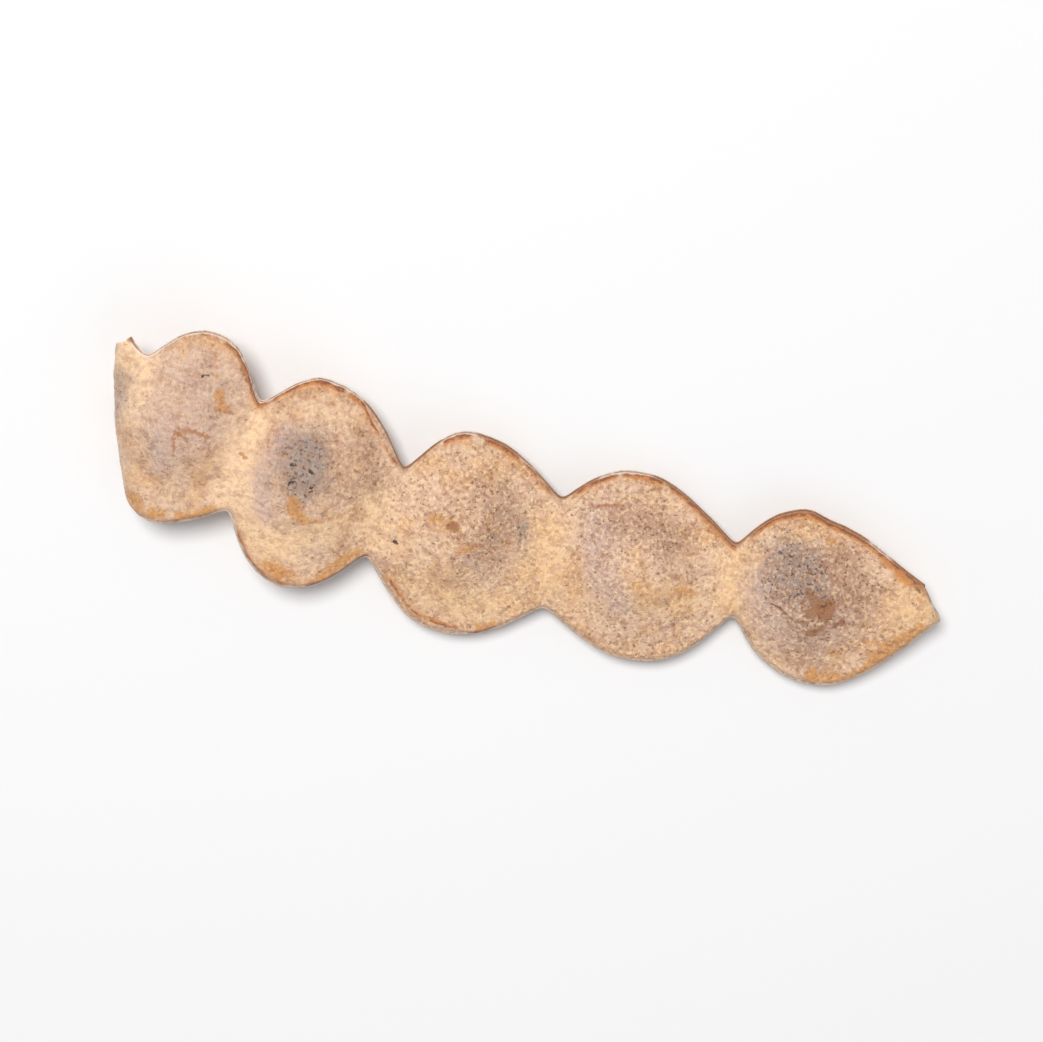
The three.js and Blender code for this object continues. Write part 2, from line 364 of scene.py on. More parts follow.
# Where the upper edge's lip, outside the brown line, has weathered pale.
PALE_LIPS = [
    (1, -4.6, 5.4, 1.0),
    (2, -5.4, 2.0, 0.7),
    (3, -3.6, -0.6, 0.7),
    (3, 2.6, 5.8, 0.4),
    (4, -4.0, 0.2, 0.6),
    (5, 4.4, 6.6, 0.6),
]

ZONES = {"cream": CREAM_MARKS, "mauve": MAUVE_MARKS, "grey": GREY_MARKS, "deep": DEEP_MARKS}
UPPER_MARKS = {
    "ochre": OCHRE_MARKS, "brown": BROWN_MARKS, "scratch": SCRATCH_MARKS, "black": BLACK_MARKS,
}
# Stretches of the upper and of the lower edge. The inset is how far in the brown line runs there.
EDGE_STRETCHES = {
    "wear": (UPPER_EDGE_WEAR, LOWER_EDGE_WEAR),
    "inset": ([(2, 2.4, 5.4, 0.45)], [(3, -4.2, 1.8, 0.5)]),
}


# -------- the pod's shape

def ease(x):
    """From 0 to 1 as x goes from 0 to 1, slow at both ends."""
    return x * x * (3 - 2 * x)


def on_line(a, b, start, end, t):
    """A place on the line that runs from a at the start to b at the end."""
    return ((end - t) * a + (t - start) * b) / (end - start)


def middle_line_samples(steps=400):
    """Points of a smooth curve through the middle line's points, and the distance along it."""
    first, last = MIDDLE_LINE[0], MIDDLE_LINE[-1]
    points = np.vstack([2 * first - MIDDLE_LINE[1], MIDDLE_LINE, 2 * last - MIDDLE_LINE[-2]])
    curve = []
    for a, b, c, d in zip(points, points[1:], points[2:], points[3:]):
        ta = 0.0
        tb = ta + math.sqrt(np.linalg.norm(b - a))
        tc = tb + math.sqrt(np.linalg.norm(c - b))
        td = tc + math.sqrt(np.linalg.norm(d - c))
        t = np.linspace(tb, tc, steps, endpoint=False)[:, None]
        abc = on_line(on_line(a, b, ta, tb, t), on_line(b, c, tb, tc, t), ta, tc, t)
        bcd = on_line(on_line(b, c, tb, tc, t), on_line(c, d, tc, td, t), tb, td, t)
        curve.append(on_line(abc, bcd, tb, tc, t))
    curve = np.vstack(curve + [last[None]])
    lengths = np.linalg.norm(np.diff(curve, axis=0), axis=1)
    distance = np.concatenate([[0.0], np.cumsum(lengths)])
    return curve, distance * BEAK["at"] / distance[-1]


CURVE, CURVE_DISTANCE = middle_line_samples()
CURVE_AHEAD = np.gradient(CURVE, axis=0)


def along_curve(values, along):
    """What the values of the curve's points are at any places along it."""
    axes = [np.interp(along, CURVE_DISTANCE, values[:, axis]) for axis in range(3)]
    return np.stack(axes, axis=1)


def place_on(feature, side):
    """Where a neck's notch or a segment's widest place lies along the upper or the lower edge."""
    return feature["at"] - side * feature["skew"]


def swell_share(share, roundness):
    """Rises from 0 to 1, with a softly rounded top."""
    left = ((1 - share) ** 2 + WIDEST_SOFTNESS ** 2) ** (roundness / 2)
    top = WIDEST_SOFTNESS ** roundness
    foot = (1 + WIDEST_SOFTNESS ** 2) ** (roundness / 2)
    return (foot - left) / (foot - top)


def half_width(along, side):
    """Half of the pod's width. A neck is a rounded notch, and the outline swells from it."""
    width = np.full_like(along, BEAK["half"])
    before = np.full_like(along, -np.inf)
    upper = np.asarray(side) > 0
    for index, (segment, neck) in enumerate(zip(SEGMENTS, NECKS)):
        widest = place_on(segment, side)
        after = place_on(neck, side)
        inside = (along > before) & (along <= after)
        front = along >= widest
        sides = [(neck, front if index else inside, 1)]
        if index:
            sides.append((NECKS[index - 1], ~front, 0))
        for nearest, half, end in sides:
            roundness = np.where(upper, segment["swell"][end], segment["swell"][end + 2])
            fillet = 0.0 if nearest is BEAK else NECK_FILLET
            notch = place_on(nearest, side)
            gap = np.hypot(along - notch, fillet) - fillet
            full = np.hypot(widest - notch, fillet) - fillet
            swell = swell_share(np.minimum(1.0, gap / full), roundness)
            here = inside & half
            width[here] = (nearest["half"] + (segment["radius"] - nearest["half"]) * swell)[here]
        before = after
    return width


def roll_at(along):
    """How far the pod has turned out of its plane, eased from one segment to the next."""
    places = np.array([segment["at"] for segment in SEGMENTS])
    rolls = np.radians([segment["roll"] for segment in SEGMENTS])
    index = np.clip(np.searchsorted(places, along), 1, len(places) - 1)
    before, after = places[index - 1], places[index]
    share = ease(np.clip((along - before) / (after - before), 0, 1))
    return rolls[index - 1] * (1 - share) + rolls[index] * share


def half_thickness(along, across, share):
    """Half of the pod's thickness, where share is how much of the way to the edge a place is."""
    thickness = BODY_THICKNESS + (EDGE_THICKNESS - BODY_THICKNESS) * np.abs(share) ** THINNING
    for segment in SEGMENTS:
        distance = np.hypot(along - segment["at"], across) / segment["reach"]
        thickness += segment["dome"] * np.maximum(0, 1 - distance ** 2) ** 2
    return thickness


def fold_down(points):
    """Turns down what lies beyond the fold line, round a cylinder that lies under the pod."""
    lean = math.radians(FOLD["lean"])
    outward = np.array([-math.cos(lean), -math.sin(lean)])
    beyond = (points[:, 0] - FOLD["x"]) * outward[0] + (points[:, 1] - FOLD["y"]) * outward[1]
    turned = np.clip(beyond / FOLD["radius"], 0, math.radians(FOLD["angle"]))
    straight = beyond - turned * FOLD["radius"]
    arm = FOLD["radius"] + points[:, 2] - FOLD["height"]
    reach = arm * np.sin(turned) + straight * np.cos(turned)
    drop = FOLD["radius"] - arm * np.cos(turned) + straight * np.sin(turned)
    folded = points.copy()
    folded[:, :2] += outward * (reach - beyond)[:, None]
    folded[:, 2] = FOLD["height"] - drop
    return np.where((beyond > 0)[:, None], folded, points)


def smooth_noise(points, size, seed):
    """Gentle noise between about -1 and 1, whose lumps are about as big as size."""
    shift = Vector((seed * 17.3, seed * 5.1, seed * 9.7))
    return np.array([noise.noise(Vector(point) / size + shift) for point in points])


def outline_wobble(along, side):
    """The small unevenness of the two edges. It is the same all the way across to the middle."""
    beyond = WOBBLE_LINE["beyond"]
    places = np.linspace(-beyond, BEAK["at"] + beyond, WOBBLE_LINE["places"])
    wobble = np.zeros_like(along)
    for edge in (-1, 1):
        rows = np.zeros_like(places)
        apart = np.full_like(places, WOBBLE_LINE["from_middle"] * edge)
        line = np.stack([places, apart, np.zeros_like(places)], axis=1)
        for size, height in WOBBLE:
            rows += height * smooth_noise(line, size, seed=2)
        wobble = np.where(np.sign(side) == edge, np.interp(along, places, rows), wobble)
    return wobble


def directions_at(along):
    """Unit vectors ahead along the pod, across it and out of its upper face."""
    ahead = along_curve(CURVE_AHEAD, along)
    ahead /= np.linalg.norm(ahead, axis=1)[:, None]
    sideways = np.stack([-ahead[:, 1], ahead[:, 0], np.zeros(len(ahead))], axis=1)
    sideways /= np.linalg.norm(sideways, axis=1)[:, None]
    up = np.cross(ahead, sideways)
    roll = roll_at(along)[:, None]
    rolled = sideways * np.cos(roll) + up * np.sin(roll)
    return ahead, rolled, np.cross(ahead, rolled)


def torn_back(across_share, half):
    """How far the torn edge lies back along the pod, for each share of the way across it."""
    teeth = TEETH["length"] * np.sin(TEETH["turn"] * across_share + TEETH["start"])
    slant = TEAR["slant"] * across_share * half
    return slant + teeth - TEAR["corner"] * ease(np.clip(across_share, 0, 1))


def drawn_out(along, across, across_share):
    """How far the beak's end is drawn out ahead, to its slanting cut and its point."""
    near_tip = np.maximum(0, 1 - (BEAK["at"] - along) / TIP["reach"]) ** 2
    lower_corner = np.exp(-((across_share + 1) / TIP_POINT["width"]) ** 2)
    pointed = TIP_POINT["all"] + TIP_POINT["lower"] * lower_corner
    return near_tip * (near_tip * pointed - TIP["slant"] * across)


def skin_points(shares):
    """The pod's skin, in mm, from shares between -1 and 1 along, across and through it. Also gives
    the places along and across it, the distance from its edge, and the way round the edge: positive
    inwards on the upper face, and negative down the edge's wall and on the lower face."""
    along_share, across_share, through_share = shares.T
    side = np.sign(across_share)
    on_side = np.abs(across_share) > ALL_THE_WAY
    at_tip = (along_share > ALL_THE_WAY) & ~on_side
    at_tear = along_share < -ALL_THE_WAY

    straight = TEAR["at"] + (along_share + 1) / 2 * (BEAK["at"] - TEAR["at"])
    from_tear = straight - TEAR["at"]
    near_tear = np.maximum(0, 1 - from_tear / TEAR["reach"]) ** 2
    along = straight - near_tear * torn_back(across_share, half_width(straight, side))
    half = half_width(along, side) + outline_wobble(along, side)
    across = across_share * half
    from_edge = np.minimum((1 - np.abs(across_share)) * half, BEAK["at"] - straight)

    wall = np.sqrt(np.maximum(0, 1 - through_share ** 2))
    groove = LIP["groove"] * np.exp(-(through_share / LIP["groove_width"]) ** 2) * (wall > 0)
    lower_lip = LIP["lower"] * np.maximum(0, -through_share) * wall
    no_groove = ease(np.clip(1 - from_tear / LIP["no_groove"], 0, 1))
    lip = side * (LIP["bulge"] * wall - groove * (1 - no_groove) + lower_lip) * on_side
    curl = np.clip(1 - from_edge / SHOULDER["radius"], 0, 1)
    drop = SHOULDER["drop"] * (1 - np.sqrt(1 - curl ** 2))
    off_rib = (from_edge - EDGE_RIB["from_edge"]) / EDGE_RIB["width"]
    rib = EDGE_RIB["height"] * np.exp(-off_rib ** 2)
    through = through_share * (half_thickness(along, across, across_share) - drop + rib)

    ragged = np.stack([across, FRAY["through"] * through_share, np.zeros_like(across)], axis=1)
    ripped = np.clip(-across_share / FRAY["fade"], 0, 1)
    fray = FRAY["length"] * smooth_noise(ragged, FRAY["size"], seed=3)
    fray = fray * near_tear ** FRAY["closeness"] * ripped
    cleft = np.exp(-(through_share / CLEFT["width"]) ** 2) * at_tear * wall * ripped
    bulge = TIP_BULGE * wall * np.sqrt(np.maximum(0, 1 - across_share ** 2)) * at_tip
    forward = fray + CLEFT["depth"] * cleft + bulge - groove * at_tip
    forward += drawn_out(along, across, across_share)

    ahead, rolled, rolled_up = directions_at(along)
    points = along_curve(CURVE, along) + rolled * (across + lip)[:, None]
    points += ahead * forward[:, None]
    points += rolled_up * through[:, None]

    down_wall = -(1 - through_share) * EDGE_THICKNESS
    lower_face = -2 * EDGE_THICKNESS - from_edge
    edge_way = np.where(through_share > 0, from_edge, lower_face)
    edge_way = np.where(at_tear, OFF_THE_EDGE, edge_way)
    edge_way = np.where(on_side | at_tip, down_wall, edge_way)
    return fold_down(points), along, across, from_edge, edge_way


# -------- making the pod

def add_blank():
    """A flat bar with a fine grid on its two faces and a few rows on its edges."""
    bpy.ops.object.select_all(action="DESELECT")
    bpy.ops.mesh.primitive_grid_add(
        x_subdivisions=STEPS["along"], y_subdivisions=STEPS["across"], size=2, location=(0, 0, -1)
    )
    blank = bpy.context.object
    bpy.ops.object.transform_apply(location=True)
    bpy.ops.object.mode_set(mode="EDIT")
    bpy.ops.mesh.select_all(action="SELECT")
    bpy.ops.mesh.extrude_region_move(TRANSFORM_OT_translate={"value": (0, 0, 2)})
    grid = bmesh.from_edit_mesh(blank.data)
    for edge in grid.edges:
        edge.select = abs(edge.verts[0].co.z - edge.verts[1].co.z) > 1
    bmesh.update_edit_mesh(blank.data)
    bpy.ops.mesh.subdivide(number_cuts=STEPS["edge"] - 1)
    bpy.ops.mesh.select_all(action="SELECT")
    bpy.ops.mesh.normals_make_consistent(inside=False)
    bpy.ops.object.mode_set(mode="OBJECT")
    return blank


def rows_of(vertices, kind="co"):
    """The vertices' places, or another kind of vector that they have, one row each."""
    rows = np.empty(len(vertices) * 3)
    vertices.foreach_get(kind, rows)
    return rows.reshape(-1, 3)


def move_vertices(piece, places):
    piece.data.vertices.foreach_set("co", places.ravel())
    piece.data.update()


def keep_field(piece, name, values):
    """Keeps a value or a place for each vertex, for the skin's colours to read."""
    kind, column = ("FLOAT", "value") if values.ndim == 1 else ("FLOAT_VECTOR", "vector")
    field = piece.data.attributes.new(name, kind, "POINT")
    field.data.foreach_set(column, values.astype(np.float32).ravel())


def set_down(places):
    """On z = 0 with the lowest places pressed flat, in the middle of x and y, but for the point
    drawn out at the tip."""
    low, high = places.min(axis=0), places.max(axis=0)
    middle = (low + high) / 2 - np.array([TIP_POINT["all"], 0, 0])
    places = places - np.array([middle[0], middle[1], low[2] + PRESSED_FLAT])
    places[:, 2] = np.maximum(0, places[:, 2])
    return places


def distance_to_line(points, segment, along, across):
    """How far each place is from a line through a mark's points, or from its one point."""
    x = along - SEGMENTS[segment]["at"]
    nearest = np.full_like(along, np.inf)
    for (x0, y0), (x1, y1) in zip(points, points[1:] or points):
        dx, dy = x1 - x0, y1 - y0
        reach = max(dx ** 2 + dy ** 2, 1e-9)
        share = np.clip(((x - x0) * dx + (across - y0) * dy) / reach, 0, 1)
        nearest = np.minimum(nearest, np.hypot(x - x0 - share * dx, across - y0 - share * dy))
    return nearest


def mark_field(marks, along, across):
    """How strongly a list of marks covers each place, from 0 to 1, with soft borders."""
    bare = np.ones_like(along)
    for segment, points, width, strength in marks:
        distance = distance_to_line(points, segment, along, across)
        bare *= 1 - strength * np.exp(-MARK_FADE * (distance / width) ** 2)
    return 1 - bare


def stretch_field(stretches, along):
    """How strong the strongest stretch of the edge is at each place along it, with soft ends."""
    strongest = np.zeros_like(along)
    for segment, start, end, strength in stretches:
        place = along - SEGMENTS[segment]["at"]
        inside = np.minimum(place - start, end - place) / STRETCH_FADE + 0.5
        strongest = np.maximum(strongest, strength * np.clip(inside, 0, 1))
    return strongest


def relief_heights(along, across, from_edge, upper_face):
    """Shallow forms that follow the pod's own build: a furrow round each seed, pleats that run
    through the necks, and a few wrinkles."""
    height = np.zeros_like(along)
    for segment in SEGMENTS[1:]:
        distance = np.hypot(along - segment["at"], across)
        ring = (distance - SEED_RING["share"] * segment["reach"]) / SEED_RING["width"]
        height -= SEED_RING["depth"] * np.exp(-ring ** 2)
    lengthwise = along / NECK_PLEATS["length"]
    crosswise = across / NECK_PLEATS["spacing"]
    pleats = np.stack([lengthwise, crosswise, FACES_APART["pleats"] * upper_face], axis=1)
    waves = smooth_noise(pleats, 1.0, seed=4)
    near_neck = np.zeros_like(along)
    for neck in NECKS:
        distance = (along - neck["at"]) / NECK_PLEATS["reach"]
        near_neck = np.maximum(near_neck, np.exp(-distance ** 2))
    height += NECK_PLEATS["depth"] * waves * (NECK_PLEATS["elsewhere"] + near_neck)
    height -= WRINKLE_DEPTH * mark_field(WRINKLES, along, across) * upper_face
    return height * np.clip(from_edge / RELIEF_FADE, 0, 1)


def displace(piece, group, name, size, height, kind):
    """Raises and lowers the skin by a cloudy pattern, whose lumps are about as big as size."""
    clouds = bpy.data.textures.new(name, "CLOUDS")
    clouds.noise_scale = size * MM
    clouds.noise_depth = 2
    clouds.noise_type = kind
    modifier = piece.modifiers.new(name, "DISPLACE")
    modifier.texture = clouds
    modifier.texture_coords = "LOCAL"
    modifier.mid_level = 0.5
    modifier.strength = 2 * height * MM
    modifier.vertex_group = group
    bpy.ops.object.modifier_apply(modifier=name)


def colour_fields(shares, along, across, from_edge):
    """How strong each kind of mark is at each vertex, and what happens along the edge."""
    upper_face = shares[:, 2] > HALFWAY
    upper_edge = across > 0
    smooth = (SMOOTH_END["to"] - along) / (SMOOTH_END["to"] - SMOOTH_END["from"])
    fields = {"smooth": np.clip(smooth, 0, 1)}
    for name, marks in ZONES.items():
        fields[name] = mark_field(marks, along, across)
    # Painted shade: the deep tone laid along the lower edge's rim, strongest at the edge.
    lower_rim_shade = LOWER_RIM_SHADE["strength"] * np.exp(-from_edge / LOWER_RIM_SHADE["width"]) * (across < 0)
    fields["deep"] = np.maximum(fields["deep"], lower_rim_shade)
    for name, marks in UPPER_MARKS.items():
        fields[name] = mark_field(marks, along, across) * upper_face
    for name, (upper, lower) in EDGE_STRETCHES.items():
        on_upper, on_lower = stretch_field(upper, along), stretch_field(lower, along)
        fields[name] = np.where(upper_edge, on_upper, on_lower)
    fields["pale_lip"] = np.where(upper_edge, stretch_field(PALE_LIPS, along), LOWER_PALE_LIP)
    row = 2 / STEPS["along"]
    torn = np.clip(1 - (shares[:, 0] + 1) / (row * TORN_FIBRES["rows"]), 0, 1)
    fields["torn"] = torn * np.clip(-shares[:, 1] / TORN_FIBRES["fade"], 0, 1)
    return fields


def make_pod():
    """The pod's skin as one closed mesh, with its relief and the fields that its colours read."""
    pod = add_blank()
    pod.name = pod.data.name = "babul_pod"
    shares = rows_of(pod.data.vertices)
    closer = np.sin(shares[:, 1] * math.pi / 2)
    shares[:, 1] = (1 - CLOSER_STEPS) * shares[:, 1] + CLOSER_STEPS * closer
    places, along, across, from_edge, edge_way = skin_points(shares)
    move_vertices(pod, set_down(places) * MM)

    heights = relief_heights(along, across, from_edge, shares[:, 2] > HALFWAY)
    outward = rows_of(pod.data.vertex_normals, "vector")
    move_vertices(pod, rows_of(pod.data.vertices) + outward * heights[:, None] * MM)
    felted = pod.vertex_groups.new(name="felted")
    weights = np.clip(FELT_FADE["at_edge"] + from_edge / FELT_FADE["width"], 0, 1)
    for index, weight in enumerate(weights):
        felted.add([index], float(weight), "REPLACE")
    for name, lumps in FELT_LUMPS.items():
        displace(pod, "felted", name, *lumps)
    places = rows_of(pod.data.vertices)
    places[:, 2] = np.maximum(0, places[:, 2])
    move_vertices(pod, places)

    below = FACES_APART["fibres"] * (1 - shares[:, 2])
    keep_field(pod, "flat_place", np.stack([along, across, below], axis=1))
    keep_field(pod, "edge_way", edge_way)
    for name, values in colour_fields(shares, along, across, from_edge).items():
        keep_field(pod, name, values)
    bpy.ops.object.shade_smooth()
    return pod


# -------- colours

def colour(red, green, blue):
    """A colour from its values on a screen, 0 to 255, as the shaders count it."""
    shares = np.array([red, green, blue]) / 255
    linear = np.where(shares < 0.04045, shares / 12.92, ((shares + 0.055) / 1.055) ** 2.4)
    return (*linear.tolist(), 1.0)


FELT = colour(226, 190, 160)
WARM_FELT = colour(220, 174, 130)
DEEP_FELT = colour(168, 127, 99)
CREAM = colour(241, 198, 147)
PALE_CREAM = colour(249, 212, 171)
MAUVE = colour(201, 172, 160)
GREY = colour(150, 135, 129)
PALE_TUFTS = colour(252, 222, 180)
DARK_TUFTS = colour(158, 112, 84)
PINK_TUFTS = colour(198, 154, 136)
PIT_BROWN = colour(120, 78, 54)
PIT_GREY = colour(86, 70, 64)
OCHRE = colour(208, 148, 80)
DARK_OCHRE = colour(174, 112, 62)
RUBBED_BROWN = colour(164, 114, 78)
DEEP_BROWN = colour(112, 68, 46)
LINE_ORANGE = colour(200, 128, 66)
LINE_BROWN = colour(132, 72, 42)
PALE_LIP = colour(244, 226, 212)
BROWN_LIP = colour(160, 110, 74)
STRAW = colour(222, 186, 134)
NEAR_BLACK = colour(70, 52, 44)

# The skin's noises: how big their lumps are in mm, how much finer detail they hold, how strong it
# is, and the shift at which each is read, so that no two lie alike.
NOISES = {
    "slow": (2.6, 3.0, 0.5),
    "patchy": (0.55, 4.0, 0.7, (4.0, 9.0, 2.0)),
    "threads": (0.24, 3.0, 0.7, (6.0, 2.0, 8.0)),
    "fibres": (0.2, 3.0, 0.5),
    "clumps": (1.0, 3.0, 0.6),
    "tufts": (0.34, 3.0, 0.6, (3.0, 8.0, 1.0)),
    "ends": (0.26, 2.0, 0.6, (7.0, 3.0, 5.0)),
    "pinks": (0.4, 2.0, 0.6, (2.0, 1.0, 7.0)),
    "pores": (0.24, 1.0, 0.6, (1.0, 6.0, 9.0)),
}
# Between which values of a noise or a field its effect fades in, from none to full.
FADES = {
    "warm": (0.44, 0.6),
    "hollows": (0.52, 0.36),
    "Low": (0.52, 0.36),
    "Pale": (0.48, 0.64),
    "Pink": (0.48, 0.62),
    "crowd": (0.58, 0.4),
    "Pits": (0.3, 0.22),
    "pit_sides": (0.32, 0.22),
    "dark_ochre": (0.55, 0.4),
    "deep_brown": (0.5, 0.34),
    "line_brown": (0.12, -0.02),
    "straw_gaps": (0.55, 0.4),
    "wear": (0.25, 0.7),
    "worn_deep": (1.0, 2.0),
    "pale_lip": (0.2, 0.7),
    "torn": (0.2, 0.7),
}
# How far each field of marks is broken up by its noise, and between which values it fades in.
BROKEN_FIELDS = {
    "cream": (0.9, 0.1, 0.95),
    "mauve": (1.1, 0.1, 1.0),
    "grey": (0.8, 0.15, 0.9),
    "deep": (1.2, 0.1, 1.0),
    "ochre": (1.3, 0.2, 0.8),
    "scratch": (2.2, 0.3, 0.95),
    "brown": (1.6, 0.3, 0.75),
    "black": (2.6, 0.62, 0.88),
}
# How big the raggedness of a field's outline is in mm, and how far it shifts the field's values.
RAGGED_FIELDS = {
    "edge_way": (0.5, 0.28),
    "wear": (0.9, 1.2),
    "pale_lip": (1.2, 0.8),
    "torn": (0.4, 0.6),
}
# Bands along the edge, by the way round it in mm: where each starts, is full, is still full, ends.
BANDS = {
    "glow": (-0.9, -0.1, 0.1, 0.9),
    "line": (-0.14, -0.02, 0.14, 0.28),
    "lip": (-1.3, -1.0, -0.14, 0.02),
    "seam": (-0.66, -0.52, -0.42, -0.3),
}
# How much of the skin under it each colour covers where it is full.
COVER = {
    "cream": 0.88, "mauve": 0.97, "deep": 0.82, "grey": 0.9, "hollows": 0.42,
    "scratch": 0.8, "black": 0.92, "lip": 0.7, "line": 0.9, "seam": 0.7,
}
# The same where it also depends on other fields: everywhere, and how much more with each field.
MIXED_COVER = {
    "Low": (0.66, {"busy": 0.2, "smooth": -0.26, "cream": -0.32}),
    "Pale": (0.56, {"busy": -0.25, "smooth": -0.25}),
    "Pink": (0.4, {"grey": -0.3}),
    "Pits": (0.6, {"busy": 0.25, "smooth": -0.3}),
    "ochre": (0.8, {"pale": -0.35}),
    "glow": (0.25, {"worn_deep": 0.6}),
}
# How much the deep zones count towards a busy grain. Pits crowd where it is busy, and less where it
# is cream, and where they crowd more of the pores are pits.
BUSY_DEEP = 0.6
CROWD = {"busy": 1.3, "cream": -0.6}
CROWDED_PORES = -0.06
# How far the line's brown side is broken up into its orange side.
LINE_BREAKUP = 0.7
# The torn fibres run along the pod: the noise is read more slowly that way.
FIBRE_STRETCH = (0.4, 1.0, 1.0)
# How high the grain stands and how deep the marks are cut, in mm.
GRAIN_HEIGHTS = {"clumps": 0.14, "tufts": 0.12, "ends": 0.05, "pits": -0.04}
MARK_HEIGHTS = {"black": -0.10, "scratch": -0.03, "brown": -0.04}
ROUGHNESS = {"felt": 0.88, "rubbed": -0.28}


# -------- shader building

def set_inputs(tree, node, inputs):
    """Links an input to the output that is given for it, or else sets it to the value."""
    for name, value in inputs.items():
        if isinstance(value, bpy.types.NodeSocket):
            tree.links.new(value, node.inputs[name])
        else:
            node.inputs[name].default_value = value


def add_node(tree, kind, inputs, **settings):
    node = tree.nodes.new("ShaderNode" + kind)
    for name, value in settings.items():
        setattr(node, name, value)
    set_inputs(tree, node, inputs)
    return node


def calculate(tree, operation, *values):
    return add_node(tree, "Math", dict(enumerate(values)), operation=operation).outputs[0]


def vector(tree, operation, *values, **named):
    inputs = {**dict(enumerate(values)), **named}
    return add_node(tree, "VectorMath", inputs, operation=operation).outputs["Vector"]


def fade(tree, value, start, end):
    """0 at start and 1 at end, eased between them."""
    inputs = {"Value": value, "From Min": start, "From Max": end}
    return add_node(tree, "MapRange", inputs, interpolation_type="SMOOTHSTEP").outputs["Result"]


def between(tree, value, start, full_from, full_to, end):
    """1 where the value lies from full_from to full_to, fading to 0 at start and at end."""
    rise = fade(tree, value, start, full_from)
    return calculate(tree, "MULTIPLY", rise, fade(tree, value, end, full_to))


def blend(tree, share, first, second):
    """A mix of two colours, with the second one's share."""
    inputs = {0: share, 6: first, 7: second}
    return add_node(tree, "Mix", inputs, data_type="RGBA").outputs[2]


def cover(tree, skin, tone, field, share):
    """The skin with a colour over it where a field is high, at most to the given share."""
    return blend(tree, calculate(tree, "MULTIPLY", field, share), skin, tone)


def cloud(tree, place, size, detail, roughness, shift=None):
    """Soft noise from about 0 to 1 on places in mm, whose lumps are about as big as size."""
    if shift:
        place = vector(tree, "ADD", place, shift)
    inputs = {"Vector": place, "Scale": 1 / size, "Detail": detail, "Roughness": roughness}
    return add_node(tree, "TexNoise", inputs).outputs["Fac"]


def attribute(tree, name, output="Fac"):
    return add_node(tree, "Attribute", {}, attribute_name=name).outputs[output]


def shaken(tree, value, noise, amount):
    """A value that a noise shifts up and down, over a range of about the given amount."""
    return calculate(tree, "MULTIPLY_ADD", calculate(tree, "SUBTRACT", noise, 0.5), amount, value)


def broken(tree, name, noise):
    """A field of marks whose borders break up into a noise."""
    amount, start, end = BROKEN_FIELDS[name]
    return fade(tree, shaken(tree, attribute(tree, name), noise, amount), start, end)


def ragged(tree, name, place):
    """A field with a noise of its own, so that what is cut from it has a ragged outline."""
    size, amount = RAGGED_FIELDS[name]
    noise = cloud(tree, place, size, detail=3.0, roughness=0.6)
    return shaken(tree, attribute(tree, name), noise, amount)


def weigh(tree, total, weights, fields):
    """The total with some fields added to it, each as often as its weight says."""
    for name, weight in weights.items():
        total = calculate(tree, "MULTIPLY_ADD", fields[name], weight, total)
    return total


def felt_group():
    """The felt's grain: soft clumps, low places between tufts, pale tuft ends, pinker tufts, dark
    pits, which are more frequent where the crowd is high, and the height of it all."""
    tree = bpy.data.node_groups.new("felt", "ShaderNodeTree")
    tree.interface.new_socket(name="Place", in_out="INPUT", socket_type="NodeSocketVector")
    tree.interface.new_socket(name="Crowd", in_out="INPUT", socket_type="NodeSocketFloat")
    for name in ("Clumps", "Low", "Pale", "Pink", "Pits", "Height"):
        tree.interface.new_socket(name=name, in_out="OUTPUT", socket_type="NodeSocketFloat")
    given = tree.nodes.new("NodeGroupInput").outputs
    result = tree.nodes.new("NodeGroupOutput").inputs
    grain = {}
    for name in ("clumps", "tufts", "ends", "pinks", "pores"):
        grain[name] = cloud(tree, given["Place"], *NOISES[name])
    dense = fade(tree, grain["clumps"], *FADES["crowd"])
    crowd = calculate(tree, "ADD", dense, given["Crowd"])
    deepest = calculate(tree, "MULTIPLY_ADD", crowd, CROWDED_PORES, grain["pores"])
    grain["pits"] = fade(tree, deepest, *FADES["pit_sides"])
    tree.links.new(grain["clumps"], result["Clumps"])
    noises = {"Low": grain["tufts"], "Pale": grain["ends"], "Pink": grain["pinks"], "Pits": deepest}
    for name, noise in noises.items():
        tree.links.new(fade(tree, noise, *FADES[name]), result[name])
    tree.links.new(weigh(tree, 0.0, GRAIN_HEIGHTS, grain), result["Height"])
    return tree


def colour_zones(tree, place, patchy, fields):
    """The felt's own colour by its zones, kept in the fields, and painted shade on the lower rim and
    on the fold.
    """
    for name in ZONES:
        fields[name] = broken(tree, name, patchy)
    cream = blend(tree, fields["smooth"], CREAM, PALE_CREAM)
    slow = cloud(tree, place, *NOISES["slow"])
    skin = blend(tree, fade(tree, slow, *FADES["warm"]), FELT, WARM_FELT)
    tones = {"cream": cream, "mauve": MAUVE, "deep": DEEP_FELT, "grey": GREY}
    for name, tone in tones.items():
        skin = cover(tree, skin, tone, fields[name], COVER[name])
    return skin


def colour_grain(tree, skin, felt, fields):
    """The skin with the felt's tufts, hollows and pits over it."""
    hollows = fade(tree, felt["Clumps"], *FADES["hollows"])
    skin = cover(tree, skin, DARK_TUFTS, hollows, COVER["hollows"])
    pits = blend(tree, fields["grey"], PIT_BROWN, PIT_GREY)
    tones = {"Low": DARK_TUFTS, "Pale": PALE_TUFTS, "Pink": PINK_TUFTS, "Pits": pits}
    for name, tone in tones.items():
        share = weigh(tree, *MIXED_COVER[name], fields)
        skin = cover(tree, skin, tone, felt[name], share)
    return skin


